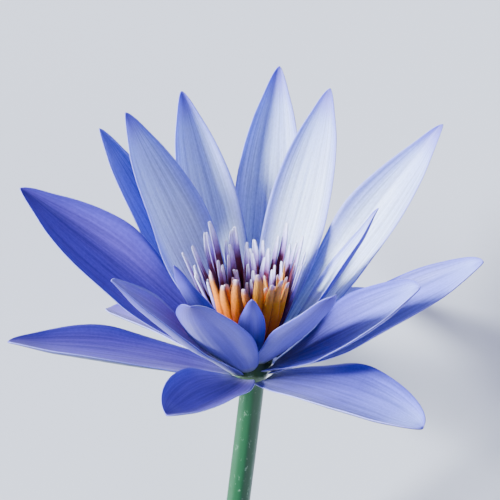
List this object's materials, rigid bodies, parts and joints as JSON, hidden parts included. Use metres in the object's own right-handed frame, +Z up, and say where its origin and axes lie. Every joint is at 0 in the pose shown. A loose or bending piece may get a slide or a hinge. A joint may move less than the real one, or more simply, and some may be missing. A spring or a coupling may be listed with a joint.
{
  "type": "water lily flower",
  "caption": "Picked blue water lily lying on a surface: an open cup of lance-shaped petals around orange stamens, on a bending cut stem.",
  "frame": {"origin": "on the surface the flower rests on, under the middle of its bounding box", "axes": "+Z up from the surface; the flower opens upwards and towards +Y at about 45 degrees; the cut stem lies towards -Y"},
  "size_m": [0.1144, 0.1806, 0.1126],
  "materials": {
    "petal": "silky petal tissue, pale blue with violet tips",
    "sepal": "blue-violet inside, green outside",
    "stamen": "matt orange-yellow with lilac tips",
    "pistil": "moist yellow stigma disc",
    "stem": "waxy dark green with pale flecks"
  },
  "bodies": {
    "root": {"petal_inner_1": "petal", "petal_inner_2": "petal", "petal_inner_3": "petal", "petal_inner_4": "petal", "petal_inner_5": "petal", "petal_middle_1": "petal", "petal_middle_2": "petal", "petal_middle_3": "petal", "petal_middle_4": "petal", "petal_middle_5": "petal", "petal_outer_1": "petal", "petal_outer_2": "petal", "petal_outer_3": "petal", "petal_outer_4": "petal", "petal_outer_5": "petal", "petal_outer_6": "petal", "pistil": "pistil", "sepal_back_left": "sepal", "sepal_back_right": "sepal", "sepal_front_right": "sepal", "sepal_left": "sepal", "stamen_1_01": "stamen", "stamen_1_02": "stamen", "stamen_1_03": "stamen", "stamen_1_04": "stamen", "stamen_1_05": "stamen", "stamen_1_06": "stamen", "stamen_1_07": "stamen", "stamen_1_08": "stamen", "stamen_1_09": "stamen", "stamen_1_10": "stamen", "stamen_1_11": "stamen", "stamen_1_12": "stamen", "stamen_1_13": "stamen", "stamen_1_14": "stamen", "stamen_2_01": "stamen", "stamen_2_02": "stamen", "stamen_2_03": "stamen", "stamen_2_04": "stamen", "stamen_2_05": "stamen", "stamen_2_06": "stamen", "stamen_2_07": "stamen", "stamen_2_08": "stamen", "stamen_2_09": "stamen", "stamen_2_10": "stamen", "stamen_2_11": "stamen", "stamen_2_12": "stamen", "stamen_3_01": "stamen", "stamen_3_02": "stamen", "stamen_3_03": "stamen", "stamen_3_04": "stamen", "stamen_3_05": "stamen", "stamen_3_06": "stamen", "stamen_3_07": "stamen", "stamen_3_08": "stamen", "stamen_3_09": "stamen", "stamen_3_10": "stamen", "stem": "stem"}
  },
  "joints": []
}
